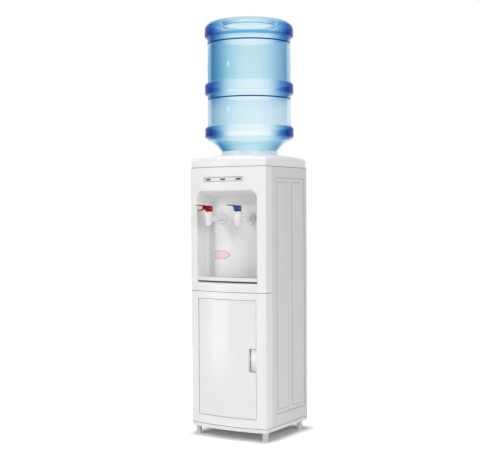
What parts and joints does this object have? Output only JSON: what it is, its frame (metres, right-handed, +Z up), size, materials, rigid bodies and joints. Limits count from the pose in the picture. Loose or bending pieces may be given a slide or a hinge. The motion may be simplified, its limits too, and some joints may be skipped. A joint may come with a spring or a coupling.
{
  "type": "floor-standing bottled water dispenser",
  "caption": "White floor-standing hot and cold water dispenser on short feet: tap alcove with drip tray, storage cupboard with a hinged door, and an upturned clear-blue bottle on top.",
  "frame": {"origin": "on the floor, under the middle of the overall box in X and Y", "axes": "+Z up, -Y towards the front with the taps, +X to the right as seen from the front"},
  "size_m": [0.2759, 0.35, 1.2721],
  "materials": {
    "shell_white": "satin moulded plastic",
    "panel_white": "fine-textured paint",
    "alcove_white": "satin moulded plastic",
    "liner_white": "matte moulded plastic",
    "back_grey": "matte painted sheet",
    "foot_white": "matte moulded plastic",
    "strip_white": "gloss",
    "lamp_dark": "unlit tinted lens",
    "grille_white": "matte moulded plastic",
    "collar_white": "satin moulded plastic",
    "bottle_blue": "clear tinted plastic",
    "tap_white": "gloss",
    "cold_blue": "gloss",
    "hot_red": "gloss",
    "catch_red": "gloss",
    "steel": "plain steel",
    "sheet_steel": "zinc-coated sheet",
    "aluminium": "extruded",
    "foam": "open-cell foam",
    "inner_plastic": "matte moulded plastic",
    "rubber": "soft silicone",
    "black_plastic": "matte moulded plastic",
    "switch_red": "gloss",
    "switch_green": "gloss",
    "ceramic": "fired",
    "heater": "mica band in steel",
    "board_green": "solder mask"
  },
  "bodies": {
    "cabinet": {"upper_front_panel": "shell_white", "lower_front_frame": "shell_white", "top_cover": "shell_white", "base_plate": "shell_white", "side_panel_left": "panel_white", "side_panel_right": "panel_white", "tap_alcove": "alcove_white", "cabinet_liner": "liner_white", "back_panel": "back_grey", "feet": "foot_white", "indicator_window": "strip_white", "indicator_lamps": "lamp_dark", "bottle_collar": "collar_white", "cold_tap_body": "tap_white", "hot_tap_body": "tap_white", "cold_tank": "steel", "hot_tank": "steel", "drain_pipe": "steel", "cold_tank_shelf": "sheet_steel", "service_deck": "sheet_steel", "heat_sink": "aluminium", "cold_block": "aluminium", "cold_tank_jacket": "foam", "hot_tank_jacket": "foam", "cold_tank_lid": "inner_plastic", "tap_nuts": "inner_plastic", "tap_washers": "rubber", "cold_hose": "rubber", "hot_hose": "rubber", "feed_hose": "rubber", "fan_frame": "black_plastic", "power_inlet": "black_plastic", "switch_housings": "black_plastic", "door_catch": "black_plastic", "cooling_module": "ceramic", "thermostats": "ceramic", "heater_band": "heater", "indicator_board": "board_green", "power_board": "board_green"},
    "door": {"door": "shell_white", "door_hinge_pins": "steel", "door_strike": "steel"},
    "drip_tray": {"drip_tray": "shell_white"},
    "drip_grille": {"drip_grille": "grille_white"},
    "bottle": {"bottle": "bottle_blue"},
    "cold_stem": {"cold_tap_stem": "inner_plastic", "cold_tap_seal": "rubber"},
    "cold_lever": {"cold_lever": "cold_blue", "cold_lever_pin": "steel"},
    "hot_stem": {"hot_tap_stem": "inner_plastic", "hot_tap_seal": "rubber"},
    "hot_lever": {"hot_lever": "hot_red", "hot_lever_pin": "steel"},
    "hot_catch": {"hot_safety_catch": "catch_red"},
    "fan_rotor": {"fan_rotor": "black_plastic"},
    "heat_switch": {"heat_switch": "switch_red"},
    "cool_switch": {"cool_switch": "switch_green"},
    "drain_cap": {"drain_cap": "black_plastic"}
  },
  "joints": [
    {"name": "door_hinge", "type": "hinge", "parent": "cabinet", "child": "door", "pos_m": [-0.096, -0.09288, 0], "axis": [0, 0, -1], "range_deg": [0, 90]},
    {"name": "tray_slide", "type": "slide", "parent": "cabinet", "child": "drip_tray", "axis": [0, -1, 0], "range_m": [0, 0.07]},
    {"name": "grille_lift", "type": "slide", "parent": "drip_tray", "child": "drip_grille", "axis": [0, 0, 1], "range_m": [0, 0.03]},
    {"name": "bottle_lift", "type": "slide", "parent": "cabinet", "child": "bottle", "axis": [0, 0, 1], "range_m": [0, 0.15]},
    {"name": "cold_stem_slide", "type": "slide", "parent": "cabinet", "child": "cold_stem", "axis": [0, 0, 1], "range_m": [0, 0.0019], "stiffness_N_per_m": 40, "springref_m": -0.004},
    {"name": "cold_lever_hinge", "type": "hinge", "parent": "cold_stem", "child": "cold_lever", "pos_m": [0.0515, -0.115, 0.6963], "axis": [1, 0, 0], "range_deg": [0, 21]},
    {"name": "hot_stem_slide", "type": "slide", "parent": "cabinet", "child": "hot_stem", "axis": [0, 0, 1], "range_m": [0, 0.0019], "stiffness_N_per_m": 40, "springref_m": -0.004},
    {"name": "hot_lever_hinge", "type": "hinge", "parent": "hot_stem", "child": "hot_lever", "pos_m": [-0.0515, -0.115, 0.6963], "axis": [1, 0, 0], "range_deg": [0, 21]},
    {"name": "hot_catch_hinge", "type": "hinge", "parent": "hot_lever", "child": "hot_catch", "pos_m": [-0.0515, -0.135, 0.6958], "axis": [-1, 0, 0], "range_deg": [0, 10], "stiffness_Nm_per_rad": 0.06, "springref_deg": -17.19},
    {"name": "fan_spin", "type": "hinge", "parent": "cabinet", "child": "fan_rotor", "pos_m": [0, 0.13, 0.73231], "axis": [0, 1, 0], "continuous": true},
    {"name": "heat_switch_rock", "type": "hinge", "parent": "cabinet", "child": "heat_switch", "pos_m": [0.052, 0.144, 0.64], "axis": [-1, 0, 0], "range_deg": [0, 14]},
    {"name": "cool_switch_rock", "type": "hinge", "parent": "cabinet", "child": "cool_switch", "pos_m": [0.08, 0.144, 0.64], "axis": [-1, 0, 0], "range_deg": [0, 14]},
    {"name": "drain_cap_pull", "type": "slide", "parent": "cabinet", "child": "drain_cap", "axis": [0, 1, 0], "range_m": [0, 0.02]}
  ],
  "couplings": [
    {"joint": "cold_lever_hinge", "follows": "cold_stem_slide", "rad_per_m": 181.82},
    {"joint": "hot_lever_hinge", "follows": "hot_stem_slide", "rad_per_m": 181.82}
  ]
}
